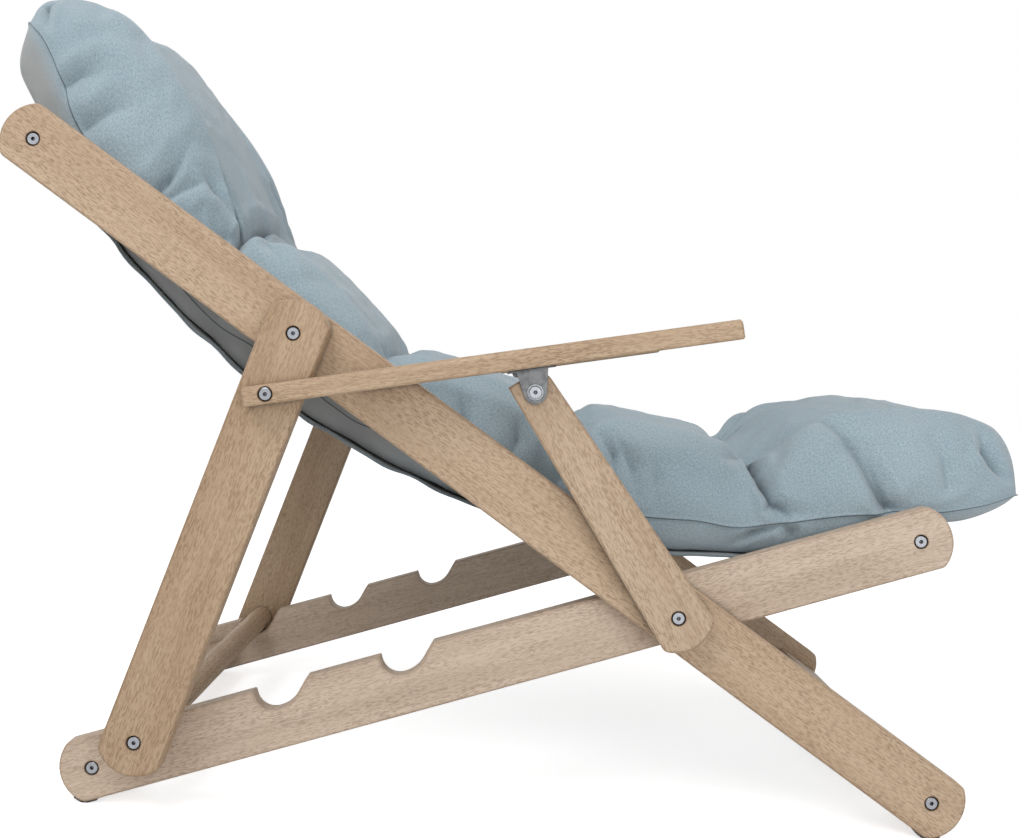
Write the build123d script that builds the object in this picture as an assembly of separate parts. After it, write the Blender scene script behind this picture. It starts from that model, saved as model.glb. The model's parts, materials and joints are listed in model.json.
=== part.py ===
from build123d import *

import os
from cmath import phase, rect
from math import acos, atan2, cos, hypot, pi, radians, sin, sqrt

# Folding beech lounge chair with a hanging sling and a tufted cushion, in millimetres.
# X points to the front, Y to the sitter's left and Z up. The origin is on the floor, under
# the middle of the chair. Points of the side view are complex numbers, x + z * 1j.

# Slats, which all rails, legs and struts are cut from
slat_width = 65
slat_thickness = 20
slat_easing = 1.6
slat_end_radius = 40
slat_end_corner = 9
slat_end_reach = 34

# Frame, measured from bolt to bolt
frame_width = 600
back_upper_length = 335
back_middle_length = 480
back_lower_length = 325
seat_rear_length = 625
seat_front_length = 268
prop_length = 440
strut_length = 268

# Notches in the top edge of the seat rails, numbered from 0 at the main pivot to the rear
notch_count = 3
notch_used = 2
notch_first = 287
notch_pitch = 136
notch_mouth = 57.5
notch_depth = 24.5
notch_hook_radius = 19
notch_ramp_angle = radians(45)
notch_ramp_radius = 31
notch_lip_radius = 4
notch_clearance = 0.3

# Crossbars: round ones carry the cushion and drop into the notches, boards brace the feet
dowel_diameter = 30
dowel_end_chamfer = 1
board_width = 60
board_thickness = 22
board_easing = 3
board_arch = 7

# Tapered strut under each armrest
strut_top_width = 41
strut_foot_width = 60
strut_top_reach = 18
strut_top_corner = 16

# Armrest, seen from above: cut back beside the prop leg, full width in front of it
arm_pivot_drop = 65
arm_rear_reach = 24
arm_front_reach = 475
arm_thickness = 20
arm_width = 40
arm_cut_length = 62
arm_cut_run = 34
arm_upper_rounding = 7.5
arm_lower_rounding = 2
arm_end_easing = 1.6

# Steel bracket that hangs each armrest on its strut
bracket_link = 266
bracket_drop = 24.5
bracket_metal_thickness = 2
bracket_gap = 0.5
bracket_flange_length = 48
bracket_flange_depth = 20
bracket_ear_width = 33
bracket_ear_radius = 11.7
bracket_play = 1.5
bracket_screw_spacing = 32
bracket_screw_radius = 1.75
bracket_screw_head_radius = 3.4
bracket_screw_length = 14

# Bolts, sleeve nuts, washers and threaded inserts
thread_radius = 3
head_radius = 6.5
head_height = 3.6
head_bevel = 0.8
socket_flats = 4
socket_depth = 2.4
sink_radius = 7.5
sink_depth = 4.2
sleeve_radius = 4
sleeve_short = 3
flange_radius = 7
flange_height = 2.4
flange_sink = 2.8
washer_radius = 9
washer_thickness = 1
bracket_washer_radius = 8
bracket_washer_thickness = 1.2
insert_radius = 5
insert_length = 15
thread_engagement_length = 14
fit_clearance = 0.05
running_clearance = 0.08

# Glide pads under the feet, worn flat where they stand
glide_thickness = 2
glide_flat = 0.5
glide_inset = 3
glide_length = 24

# Sling of heavy cloth, sewn into a sleeve round each round crossbar
sling_side_gap = 6
sling_sag = 144
cloth_thickness = 3
sleeve_gap = 0.3

# Cushion of five tufted sections on the sling
cushion_side_gap = 3
cushion_clearance = 0.5
section_gap = 0.6

# Each section's stations from head to toe, as shares of the distance between the round
# crossbars: underside along and up, and top along and up in the middle column. Then come the
# share of the full width and the share of the height where the two columns of tufts run.
section_shares = {
    "head_cushion": [
        (-0.110, 0.090, -0.115, 0.133, 0.72, 0.97),
        (-0.096, 0.062, -0.103, 0.151, 0.89, 0.95),
        (-0.066, 0.040, -0.079, 0.169, 0.98, 0.93),
        (0.020, -0.030, 0.000, 0.180, 1.00, 0.90),
        (0.062, -0.056, 0.058, 0.160, 1.00, 0.89),
        (0.120, -0.090, 0.118, 0.115, 1.00, 0.88),
        (0.178, -0.120, 0.175, 0.055, 0.98, 0.86),
        (0.238, -0.143, 0.220, 0.006, 0.94, 0.82),
    ],
    "lumbar_cushion": [
        (0.238, -0.143, 0.220, 0.006, 0.94, 0.82),
        (0.286, -0.154, 0.270, 0.021, 0.98, 0.89),
        (0.330, -0.161, 0.318, 0.008, 1.00, 0.91),
        (0.372, -0.166, 0.368, -0.013, 0.98, 0.89),
        (0.412, -0.169, 0.412, -0.040, 0.94, 0.84),
    ],
    "seat_cushion": [
        (0.412, -0.169, 0.412, -0.040, 0.94, 0.84),
        (0.455, -0.171, 0.450, -0.022, 0.98, 0.89),
        (0.525, -0.173, 0.522, -0.014, 1.00, 0.91),
        (0.592, -0.172, 0.586, -0.013, 0.98, 0.89),
        (0.636, -0.167, 0.632, -0.024, 0.94, 0.84),
    ],
    "thigh_cushion": [
        (0.636, -0.167, 0.632, -0.024, 0.94, 0.84),
        (0.676, -0.160, 0.664, 0.001, 0.98, 0.89),
        (0.730, -0.146, 0.720, 0.016, 1.00, 0.91),
        (0.788, -0.130, 0.778, 0.026, 0.98, 0.89),
        (0.836, -0.113, 0.828, 0.018, 0.94, 0.82),
    ],
    "leg_cushion": [
        (0.836, -0.113, 0.828, 0.018, 0.94, 0.82),
        (0.874, -0.090, 0.866, 0.090, 0.98, 0.89),
        (0.928, -0.060, 0.928, 0.133, 1.00, 0.91),
        (0.990, 0.004, 0.990, 0.152, 1.00, 0.92),
        (1.052, 0.028, 1.056, 0.162, 0.98, 0.94),
        (1.084, 0.054, 1.087, 0.145, 0.90, 0.95),
        (1.098, 0.080, 1.100, 0.124, 0.76, 0.97),
    ],
}

# Half of a section's cross-section, as shares of its half width and of its height: the
# underside's corner, then the seam and the flank, each with the bulge of the arc before it,
# and the crown of the side column, which falls to the tufts
corner_share = (0.90, 0.02)
side_shares = [
    ((0.98, 0.12), (1.00, 0.27)),
    ((1.00, 0.45), (0.965, 0.62)),
]
side_crown_share = (0.78, 0.94)
tuft_column_share = 0.46

half_width = slat_width / 2
layer_pitch = slat_thickness + washer_thickness
arm_layer, prop_layer, back_layer, seat_layer = range(4)
dowel_radius = dowel_diameter / 2
sleeve_inner_radius = dowel_radius + sleeve_gap
sleeve_outer_radius = sleeve_inner_radius + cloth_thickness
overrun = slat_width


# Layers of slats on each side, counted inwards: armrest, prop leg and strut, back rail and
# seat rail. Distances are taken from the chair's middle plane.
def layer_outside(layer):
    return frame_width / 2 + (prop_layer - layer) * layer_pitch


def layer_inside(layer):
    return layer_outside(layer) - slat_thickness


sling_width = 2 * (layer_inside(seat_layer) - sling_side_gap)
cushion_width = 2 * (layer_inside(seat_layer) - cushion_side_gap)


# Standing pose, worked out from the notch that the prop dowel lies in
dowel_lift = half_width - notch_depth + dowel_radius + notch_clearance


def dowel_distance(notch):
    return notch_first + notch * notch_pitch


def opening_angle(notch):
    """Angle between the back rail and the rear of the seat rail with the dowel in a notch."""
    distance = dowel_distance(notch)
    reach = hypot(distance, dowel_lift)
    sides = back_middle_length**2 + reach**2 - prop_length**2
    return acos(sides / (2 * back_middle_length * reach)) + atan2(dowel_lift, distance)


def end_low_point(slope):
    """Lowest point of a slat's end, outwards and down from its bolt, at this slope."""
    corner_across = half_width - slat_end_corner
    corner_along = sqrt((slat_end_radius - slat_end_corner) ** 2 - corner_across**2)
    corner = complex(corner_along, corner_across)
    arc_centre = slat_end_reach - slat_end_radius
    if pi / 2 - slope <= phase(corner):
        return arc_centre * rect(1, slope) + slat_end_radius * 1j
    return (arc_centre + corner) * rect(1, slope) + slat_end_corner * 1j


def standing_slope(opening):
    """Slope of the back rail that brings both pairs of feet to the floor."""
    low, high = 0, opening
    for _ in range(60):
        slope = (low + high) / 2
        front = back_lower_length * sin(slope) + end_low_point(slope).imag
        rear = seat_rear_length * sin(opening - slope)
        rear += end_low_point(opening - slope).imag
        low, high = (slope, high) if front < rear else (low, slope)
    return slope


def meeting_point(first, first_reach, second, second_reach):
    """The point at these distances from two others, on the left of the way between them."""
    way = second - first
    along = (first_reach**2 - second_reach**2 + abs(way) ** 2) / (2 * abs(way))
    across = sqrt(first_reach**2 - along**2)
    return first + way / abs(way) * complex(along, across)


opening = opening_angle(notch_used)
back_slope = standing_slope(opening)
seat_slope = opening - back_slope
up_back = rect(1, pi - back_slope)
down_seat = rect(1, pi + seat_slope)

foot_height = end_low_point(back_slope).imag + glide_thickness - glide_flat
main_pivot = complex(0, back_lower_length * sin(back_slope) + foot_height)
foot_bolt = main_pivot - back_lower_length * up_back
prop_pivot = main_pivot + back_middle_length * up_back
head_bolt = prop_pivot + back_upper_length * up_back
rear_bolt = main_pivot + seat_rear_length * down_seat
front_bolt = main_pivot - seat_front_length * down_seat
dowel_axis = main_pivot + complex(dowel_distance(notch_used), -dowel_lift) * down_seat
prop_way = (dowel_axis - prop_pivot) / abs(dowel_axis - prop_pivot)
arm_pivot = prop_pivot + arm_pivot_drop * prop_way
bracket_pivot = meeting_point(arm_pivot, bracket_link, main_pivot, strut_length)
strut_way = (bracket_pivot - main_pivot) / strut_length

# The armrest's middle line passes the arm pivot, and runs this far above the bracket's
bracket_below = bracket_drop + arm_thickness / 2
bracket_ahead = sqrt(bracket_link**2 - bracket_below**2)
arm_way = (bracket_pivot - arm_pivot) / complex(bracket_ahead, -bracket_below)


# Placing and cutting
def side_place(point, way, distance):
    """Place on the right side: local X along way, local Z outwards from the middle plane."""
    return Plane(
        origin=(point.real, -distance, point.imag),
        x_dir=(way.real, 0, way.imag),
        z_dir=(0, -1, 0),
    )


def cylinder(along, across, low, high, radius):
    """A cylinder square to a slat's face, between two heights above the inner face."""
    middle = Location((along, across, (low + high) / 2))
    return middle * Cylinder(radius, high - low)


def hole(along, radius):
    """Cutter for a hole right through a slat."""
    return cylinder(along, 0, -overrun, slat_thickness + overrun, radius)


def head_sink(along, top=slat_thickness):
    """Cutter that sinks a bolt's head into a slat's outer face."""
    return cylinder(along, 0, top - sink_depth, top + overrun, sink_radius)


def flange_sink_cut(along):
    """Cutter that sinks a sleeve nut's flange into a slat's inner face."""
    return cylinder(along, 0, -overrun, flange_sink, sink_radius)


def crossbar_hole(along):
    """Cutter for a slat that a crossbar is bolted to."""
    return hole(along, thread_radius + fit_clearance) + head_sink(along)


pivot_hole_radius = sleeve_radius + running_clearance


def eased(board):
    """A slat's blank with the edges of both its faces eased."""
    return chamfer(board.faces().filter_by(Axis.Z).edges(), slat_easing)


# Slats
def slat_side(span):
    """Side view of a slat: bolts at zero and at span, with rounded ends beyond them."""
    arc_start = slat_end_reach - slat_end_radius + sqrt(slat_end_radius**2 - half_width**2)
    with BuildSketch() as side:
        with BuildLine():
            Line((-arc_start, half_width), (span + arc_start, half_width))
            ThreePointArc(
                (span + arc_start, half_width),
                (span + slat_end_reach, 0),
                (span + arc_start, -half_width),
            )
            Line((span + arc_start, -half_width), (-arc_start, -half_width))
            ThreePointArc(
                (-arc_start, -half_width), (-slat_end_reach, 0), (-arc_start, half_width)
            )
        make_face()
        fillet(side.vertices(), slat_end_corner)
    return side.sketch


def notch_side():
    """Side view of a notch: hook wall at zero, ramp towards the pivot at negative X."""
    ramp_foot = notch_mouth - notch_depth / sin(notch_ramp_angle) * cos(notch_ramp_angle)
    with BuildSketch() as side:
        with BuildLine():
            hook = Line((0, 0), (0, -notch_depth))
            floor = Line((0, -notch_depth), (-ramp_foot, -notch_depth))
            Line((-ramp_foot, -notch_depth), (-notch_mouth, 0))
            Line((-notch_mouth, 0), (0, 0))
        make_face()
        fillet(side.vertices().sort_by_distance(hook @ 1)[0], notch_hook_radius)
        fillet(side.vertices().sort_by_distance(floor @ 1)[0], notch_ramp_radius)
    return side.sketch


def notched_side(span):
    """Side view of a seat rail, whose notches open in its top edge."""
    side = slat_side(span)
    for notch in range(notch_count):
        from_pivot = dowel_distance(notch) + notch_hook_radius + notch_clearance
        hook = span - seat_front_length - from_pivot
        place = Location((hook, half_width), 180)
        side -= place * mirror(notch_side(), Plane.XZ)
        lips = {notch_mouth: notch_lip_radius, 0: slat_easing}
        for ahead, radius in lips.items():
            lip = Vector(hook + ahead, half_width)
            side = fillet(side.vertices().sort_by_distance(lip)[0], radius)
    return side


def slat(side):
    return eased(extrude(side, slat_thickness))


def back_rail():
    """Long rail from the head to the front foot."""
    span = back_upper_length + back_middle_length + back_lower_length
    rail = slat(slat_side(span))
    rail -= crossbar_hole(0) + crossbar_hole(span)
    rail -= hole(back_upper_length, pivot_hole_radius) + flange_sink_cut(back_upper_length)
    rail -= hole(back_upper_length + back_middle_length, pivot_hole_radius)
    return side_place(head_bolt, -up_back, layer_inside(back_layer)) * rail


def seat_rail():
    """Notched rail from the rear foot to the front crossbar."""
    span = seat_rear_length + seat_front_length
    rail = slat(notched_side(span))
    rail -= crossbar_hole(0) + crossbar_hole(span)
    rail -= hole(seat_rear_length, pivot_hole_radius) + flange_sink_cut(seat_rear_length)
    return side_place(rear_bolt, -down_seat, layer_inside(seat_layer)) * rail


def prop_leg():
    """Leg from the prop pivot down to the prop dowel, with the arm pivot near its top."""
    leg = slat(slat_side(prop_length))
    leg -= hole(0, pivot_hole_radius) + head_sink(0)
    leg -= hole(arm_pivot_drop, pivot_hole_radius) + flange_sink_cut(arm_pivot_drop)
    leg -= crossbar_hole(prop_length)
    return side_place(prop_pivot, prop_way, layer_inside(prop_layer)) * leg


def arm_strut():
    """Tapered strut from the main pivot up to the bracket under the armrest."""
    top = strut_length + strut_top_reach
    foot = strut_foot_width / 2
    head = strut_top_width / 2
    arc_start = slat_end_reach - slat_end_radius + sqrt(slat_end_radius**2 - foot**2)
    with BuildSketch() as side:
        with BuildLine():
            Line((-arc_start, foot), (top, head))
            front_edge = Line((top, -head), (-arc_start, -foot))
            Line((top, head), (top, -head))
            ThreePointArc((-arc_start, -foot), (-slat_end_reach, 0), (-arc_start, foot))
        make_face()
        fillet(side.vertices().sort_by_distance(front_edge @ 0)[0], strut_top_corner)
        fillet(side.vertices().group_by(Axis.X)[0], slat_end_corner)
    strut = slat(side.sketch)
    strut -= hole(0, pivot_hole_radius) + head_sink(0)
    strut -= hole(strut_length, pivot_hole_radius) + flange_sink_cut(strut_length)
    return side_place(main_pivot, strut_way, layer_inside(prop_layer)) * strut


# Armrest and its bracket, drawn with X forwards along the armrest from the arm pivot
arm_outside = layer_outside(arm_layer)
arm_neck = arm_outside - slat_thickness
bracket_outside = layer_outside(prop_layer) + bracket_gap + bracket_metal_thickness
arm_plane = Plane(
    origin=(arm_pivot.real, 0, arm_pivot.imag),
    x_dir=(arm_way.real, 0, arm_way.imag),
    z_dir=(-arm_way.imag, 0, arm_way.real),
)


def bracket_screw_places():
    """Centres of the two screws in the flange, from above."""
    across = bracket_outside - bracket_flange_depth / 2
    half = bracket_screw_spacing / 2
    return [(bracket_ahead + half, -across), (bracket_ahead - half, -across)]


def armrest():
    """Board with rounded edges, cut back at the rear to clear the prop leg."""
    inside = arm_outside - arm_width
    cut_end = arm_cut_length + arm_cut_run
    with BuildSketch() as plan:
        with BuildLine():
            Polyline(
                (cut_end, -inside),
                (arm_front_reach, -inside),
                (arm_front_reach, -arm_outside),
                (-arm_rear_reach, -arm_outside),
                (-arm_rear_reach, -arm_neck),
                (arm_cut_length, -arm_neck),
            )
            neck_end = (arm_cut_length, -arm_neck)
            shoulder = (cut_end, -inside)
            middle = (arm_cut_length + arm_cut_run / 2, -(arm_neck + inside) / 2)
            TangentArc(neck_end, middle, tangent=(1, 0))
            TangentArc(shoulder, middle, tangent=(-1, 0))
        make_face()
    board = extrude(plan.sketch, arm_thickness / 2, both=True)
    ends = board.faces().filter_by(Axis.X).edges()
    upper = board.faces().sort_by(Axis.Z)[-1].edges() - ends
    lower = board.faces().sort_by(Axis.Z)[0].edges() - ends
    board = fillet(upper, arm_upper_rounding)
    board = fillet([edge for edge in board.edges() if edge in lower], arm_lower_rounding)
    for end in board.faces().filter_by(Axis.X):
        board = chamfer([edge for edge in board.edges() if edge in end.edges()], arm_end_easing)
    bolt_hole = Rot(90, 0, 0) * Cylinder(pivot_hole_radius, 2 * (arm_outside + overrun))
    sink = Rot(90, 0, 0) * Cylinder(sink_radius, 2 * sink_depth)
    board -= bolt_hole
    board -= Pos(0, -arm_outside, 0) * sink
    depth = bracket_screw_length + fit_clearance
    for along, across in bracket_screw_places():
        pilot = Cylinder(bracket_screw_radius + fit_clearance, 2 * depth)
        board -= Pos(along, across, -arm_thickness / 2) * pilot
    return arm_plane * board


def arm_bracket():
    """Angle of sheet steel: flange under the armrest, tapering ear beside the strut."""
    top = -arm_thickness / 2
    flange_place = Pos(bracket_ahead, -bracket_outside + bracket_flange_depth / 2, top)
    flange = flange_place * Box(
        bracket_flange_length,
        bracket_flange_depth,
        bracket_metal_thickness,
        align=(Align.CENTER, Align.CENTER, Align.MAX),
    )
    corners = flange.edges().filter_by(Axis.Z).group_by(Axis.Y)[-1]
    flange = fillet(corners, bracket_metal_thickness)
    half = bracket_ear_width / 2
    with BuildSketch() as ear_side:
        with BuildLine():
            Line((-half, bracket_drop), (half, bracket_drop))
            CenterArc((0, 0), bracket_ear_radius, 180, 180)
        make_hull()
        Circle(thread_radius + bracket_play, mode=Mode.SUBTRACT)
    ear_place = Plane(
        origin=(bracket_ahead, -bracket_outside + bracket_metal_thickness, -bracket_below),
        x_dir=(1, 0, 0),
        z_dir=(0, -1, 0),
    )
    bracket = flange + ear_place * extrude(ear_side.sketch, bracket_metal_thickness)
    for along, across in bracket_screw_places():
        shank = Cylinder(bracket_screw_radius + fit_clearance, 4 * bracket_metal_thickness)
        head = Cone(
            bracket_screw_head_radius + fit_clearance,
            bracket_screw_radius + fit_clearance,
            bracket_metal_thickness,
            align=(Align.CENTER, Align.CENTER, Align.MIN),
        )
        bracket -= Pos(along, across, top) * shank
        bracket -= Pos(along, across, top - bracket_metal_thickness) * head
    return arm_plane * bracket


def bracket_screws():
    """Two countersunk wood screws through the bracket into the armrest."""
    low = -arm_thickness / 2 - bracket_metal_thickness
    shank_length = bracket_metal_thickness + bracket_screw_length
    from_head = (Align.CENTER, Align.CENTER, Align.MIN)
    screws = []
    for along, across in bracket_screw_places():
        shank = Cylinder(bracket_screw_radius, shank_length, align=from_head)
        head = Cone(
            bracket_screw_head_radius,
            bracket_screw_radius,
            bracket_metal_thickness,
            align=from_head,
        )
        screws.append(arm_plane * Pos(along, across, low) * (shank + head))
    return screws


# Crossbars, each centred on its bolts with local Z across the chair
def across_place(point, way=1):
    return Plane(
        origin=(point.real, 0, point.imag), x_dir=(way.real, 0, way.imag), z_dir=(0, -1, 0)
    )


def insert_cuts(length):
    """Cutters for a threaded insert and the bolt's end in both ends of a crossbar."""
    seat = Cylinder(insert_radius + fit_clearance, 2 * insert_length)
    tip = Cylinder(thread_radius + fit_clearance, 4 * insert_length)
    end = Pos(0, 0, length / 2)
    return end * (seat + tip) + end.inverse() * (seat + tip)


def round_crossbar(point, layer):
    """Turned bar between the inner faces of one layer of slats."""
    length = 2 * layer_inside(layer)
    bar = Cylinder(dowel_radius, length)
    bar = chamfer(bar.faces().filter_by(Axis.Z).edges(), dowel_end_chamfer)
    return across_place(point) * (bar - insert_cuts(length))


def board_crossbar(point, way, layer):
    """Flat board between the feet, its outward edge hollowed by a shallow arch."""
    length = 2 * layer_inside(layer)
    edge = board_width / 2
    with BuildSketch() as plan:
        with BuildLine():
            Polyline(
                (edge, -length / 2),
                (-edge, -length / 2),
                (-edge, length / 2),
                (edge, length / 2),
            )
            ThreePointArc(
                (edge, length / 2), (edge - board_arch, 0), (edge, -length / 2)
            )
        make_face()
    board = extrude(plan.sketch, board_thickness / 2, both=True)
    long_edges = board.faces().filter_by(Axis.Z).edges()
    long_edges -= board.faces().filter_by(Axis.Y).edges()
    board = fillet(long_edges, board_easing)
    return across_place(point, way) * (Rot(90, 0, 0) * board - insert_cuts(length))


# Fasteners, with the outer end of each at positive local Z
def bolt(shank):
    """Round-headed bolt with a hexagon socket; zero is under its head."""
    from_seat = (Align.CENTER, Align.CENTER, Align.MIN)
    head = Cylinder(head_radius, head_height, align=from_seat)
    head = chamfer(head.faces().sort_by(Axis.Z)[-1].edges(), head_bevel)
    flats = RegularPolygon(socket_flats / 2, 6, major_radius=False)
    head -= Pos(0, 0, head_height - socket_depth) * extrude(flats, socket_depth)
    body = Cylinder(
        thread_radius, shank, align=(Align.CENTER, Align.CENTER, Align.MAX)
    )
    return head + body


shank_in_sleeve = slat_thickness


def sleeve_nut(length):
    """Nut with a long barrel that the slats turn on; zero is the flange's outward face."""
    outwards = (Align.CENTER, Align.CENTER, Align.MIN)
    barrel = Cylinder(sleeve_radius, length, align=outwards)
    flange = Cylinder(
        flange_radius, flange_height, align=(Align.CENTER, Align.CENTER, Align.MAX)
    )
    thread = Pos(0, 0, length) * Cylinder(
        thread_radius + fit_clearance, 2 * min(length, shank_in_sleeve)
    )
    return flange + barrel - thread


def at_side(point, distance, shape):
    return side_place(point, 1, distance) * shape


def pivot_bolt(point, head_layer):
    """Bolt whose head lies sunk in the outer face of a layer."""
    seat = layer_outside(head_layer) - sink_depth
    return at_side(point, seat, bolt(sleeve_short + thread_engagement_length))


def pivot_nut(point, head_layer, nut_layer):
    """Sleeve nut whose flange lies sunk in the inner face of a layer."""
    seat = layer_inside(nut_layer) + flange_sink
    length = layer_outside(head_layer) - sink_depth - sleeve_short - seat
    return at_side(point, seat, sleeve_nut(length))


def spacer_washer(point, layer):
    """Thin washer between a layer of slats and the next one inwards."""
    ring = Cylinder(washer_radius, washer_thickness) - Cylinder(
        pivot_hole_radius, 2 * washer_thickness
    )
    return at_side(point, layer_inside(layer) - washer_thickness / 2, ring)


def crossbar_bolt(point, layer):
    """Bolt through a slat into the threaded insert of a crossbar's end."""
    shank = slat_thickness - sink_depth + thread_engagement_length
    return at_side(point, layer_outside(layer) - sink_depth, bolt(shank))


def crossbar_insert(point, layer):
    """Threaded insert in a crossbar's end, behind a slat."""
    ring = Cylinder(insert_radius, insert_length) - Cylinder(
        thread_radius + fit_clearance, 2 * insert_length
    )
    return at_side(point, layer_inside(layer) - insert_length / 2, ring)


def bracket_bolt():
    """Bolt that hangs the bracket's ear on the strut, with play in the ear's hole."""
    seat = bracket_outside + bracket_washer_thickness
    sleeve_end = layer_outside(prop_layer) - bracket_gap
    return at_side(bracket_pivot, seat, bolt(seat - sleeve_end + thread_engagement_length))


def bracket_nut():
    seat = layer_inside(prop_layer) + flange_sink
    length = slat_thickness - flange_sink - bracket_gap
    return at_side(bracket_pivot, seat, sleeve_nut(length))


def bracket_washer():
    ring = Cylinder(bracket_washer_radius, bracket_washer_thickness) - Cylinder(
        thread_radius + fit_clearance, 2 * bracket_washer_thickness
    )
    return at_side(
        bracket_pivot, bracket_outside + bracket_washer_thickness / 2, ring
    )


# Glide pads that follow the rounded end of a slat and stand flat on the floor
def glide_pad(point, way, slope, layer):
    """Pad round the lowest part of a slat's end; way points from its bolt to that end."""
    end = Pos(-slat_width, 0) * slat_side(slat_width)
    rim = offset(end, glide_thickness) - end
    width = slat_thickness - 2 * glide_inset
    strip = side_place(point, way, layer_inside(layer) + glide_inset) * extrude(rim, width)
    outwards = 1 if way.real > 0 else -1
    window = Pos(point.real + outwards * end_low_point(slope).real, 0, 0) * Box(
        glide_length,
        frame_width,
        glide_length,
        align=(Align.CENTER, Align.CENTER, Align.MIN),
    )
    return strip & window


# Sling and cushion, drawn along the line from the head bolt to the front bolt
span_way = (front_bolt - head_bolt) / abs(front_bolt - head_bolt)
cushion_span = abs(front_bolt - head_bolt)
span_plane = across_place(head_bolt, span_way)


def sling_arc(lift):
    """The sling's hanging line, raised by a distance."""
    start = -sleeve_outer_radius + lift
    return ThreePointArc(
        (0, start), (cushion_span / 2, -sling_sag + lift), (cushion_span, start)
    )


def sling():
    """Cloth panel with a sleeve round each of the two round crossbars."""
    with BuildSketch() as side:
        with BuildLine():
            low = sling_arc(0)
            high = sling_arc(cloth_thickness)
            Line(low @ 0, high @ 0)
            Line(low @ 1, high @ 1)
        make_face()
        with Locations((0, 0), (cushion_span, 0)):
            Circle(sleeve_outer_radius)
            Circle(sleeve_inner_radius, mode=Mode.SUBTRACT)
    return span_plane * extrude(side.sketch, sling_width / 2, both=True)


def cushion_room():
    """Cutter that keeps the cushion clear of the sling and of the sleeves."""
    with BuildSketch() as side:
        with BuildLine():
            high = sling_arc(cloth_thickness + cushion_clearance)
            deep = -2 * sling_sag
            Polyline(high @ 0, (0, deep), (cushion_span, deep), high @ 1)
        make_face()
        with Locations((0, 0), (cushion_span, 0)):
            Circle(sleeve_outer_radius + cushion_clearance)
    return span_plane * extrude(side.sketch, cushion_width, both=True)


def station_face(low, high, half, tuft_share):
    """Cross-section of the cushion: flat underside, drawn-in sides and three crowned columns."""
    height = abs(high - low)
    up = (high - low) / height
    corner = (corner_share[0] * half, corner_share[1] * height)
    tuft = (tuft_column_share, tuft_share)
    arcs = [*side_shares, (side_crown_share, tuft)]
    with BuildSketch() as outline:
        with BuildLine():
            Line((-corner[0], corner[1]), corner)
            for side in (1, -1):
                start = corner
                for bulge, end in arcs:
                    through = (bulge[0] * half, bulge[1] * height)
                    stop = (end[0] * half, end[1] * height)
                    ThreePointArc(
                        (side * start[0], start[1]),
                        (side * through[0], through[1]),
                        (side * stop[0], stop[1]),
                    )
                    start = stop
            ThreePointArc((-start[0], start[1]), (0, height), start)
        make_face()
    place = Plane(
        origin=(low.real, 0, low.imag),
        x_dir=(0, 1, 0),
        z_dir=(up.imag, 0, -up.real),
    )
    return place * outline.sketch


def cushion_section(shares, room):
    """One tufted section, lofted through its stations and trimmed to the sling."""
    stations = []
    last = len(shares) - 1
    for index, station in enumerate(shares):
        low_along, low_up, high_along, high_up, width, tuft_share = station
        shift = {0: section_gap / 2, last: -section_gap / 2}.get(index, 0)
        low = complex(low_along * cushion_span + shift, low_up * cushion_span)
        high = complex(high_along * cushion_span + shift, high_up * cushion_span)
        stations.append(
            station_face(
                head_bolt + low * span_way,
                head_bolt + high * span_way,
                width * cushion_width / 2,
                tuft_share,
            )
        )
    return loft(stations, ruled=True) - room


# Assembly: pieces of the right side are mirrored to the left
pieces = {}


def add_pair(name, shape):
    """A piece on each side, as two nodes."""
    pieces[name + "_right"] = shape
    pieces[name + "_left"] = mirror(shape, Plane.XZ)


def add_group(name, shapes):
    """Identical small pieces of one body, with their mirror images, as one node."""
    shapes = list(shapes)
    solids = shapes + [mirror(shape, Plane.XZ) for shape in shapes]
    pieces[name] = Compound(children=solids)


def build_back_frame():
    add_pair("back_rail", back_rail())
    pieces["head_crossbar"] = round_crossbar(head_bolt, back_layer)
    pieces["foot_crossbar"] = board_crossbar(foot_bolt, -up_back, back_layer)
    bolted = (head_bolt, foot_bolt)
    bolts = [crossbar_bolt(point, back_layer) for point in bolted]
    inserts = [crossbar_insert(point, back_layer) for point in bolted]
    add_group("back_crossbar_bolts", bolts)
    add_group("back_crossbar_inserts", inserts)
    add_group("prop_pivot_bolts", [pivot_bolt(prop_pivot, prop_layer)])
    add_group("prop_pivot_nuts", [pivot_nut(prop_pivot, prop_layer, back_layer)])
    add_group("prop_pivot_washers", [spacer_washer(prop_pivot, prop_layer)])
    add_group("main_pivot_bolts", [pivot_bolt(main_pivot, prop_layer)])
    add_group("main_pivot_nuts", [pivot_nut(main_pivot, prop_layer, seat_layer)])
    spaced = (prop_layer, back_layer)
    add_group("main_pivot_washers", [spacer_washer(main_pivot, layer) for layer in spaced])
    add_group("front_glide_pads", [glide_pad(foot_bolt, -up_back, back_slope, back_layer)])


def build_seat_frame():
    add_pair("seat_rail", seat_rail())
    pieces["front_crossbar"] = round_crossbar(front_bolt, seat_layer)
    pieces["rear_crossbar"] = board_crossbar(rear_bolt, down_seat, seat_layer)
    bolted = (front_bolt, rear_bolt)
    bolts = [crossbar_bolt(point, seat_layer) for point in bolted]
    inserts = [crossbar_insert(point, seat_layer) for point in bolted]
    add_group("seat_crossbar_bolts", bolts)
    add_group("seat_crossbar_inserts", inserts)
    add_group("rear_glide_pads", [glide_pad(rear_bolt, down_seat, seat_slope, seat_layer)])


def build_prop_frame():
    add_pair("prop_leg", prop_leg())
    pieces["prop_dowel"] = round_crossbar(dowel_axis, prop_layer)
    add_group("prop_dowel_bolts", [crossbar_bolt(dowel_axis, prop_layer)])
    add_group("prop_dowel_inserts", [crossbar_insert(dowel_axis, prop_layer)])
    add_group("arm_pivot_bolts", [pivot_bolt(arm_pivot, arm_layer)])
    add_group("arm_pivot_nuts", [pivot_nut(arm_pivot, arm_layer, prop_layer)])
    add_group("arm_pivot_washers", [spacer_washer(arm_pivot, arm_layer)])


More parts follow.
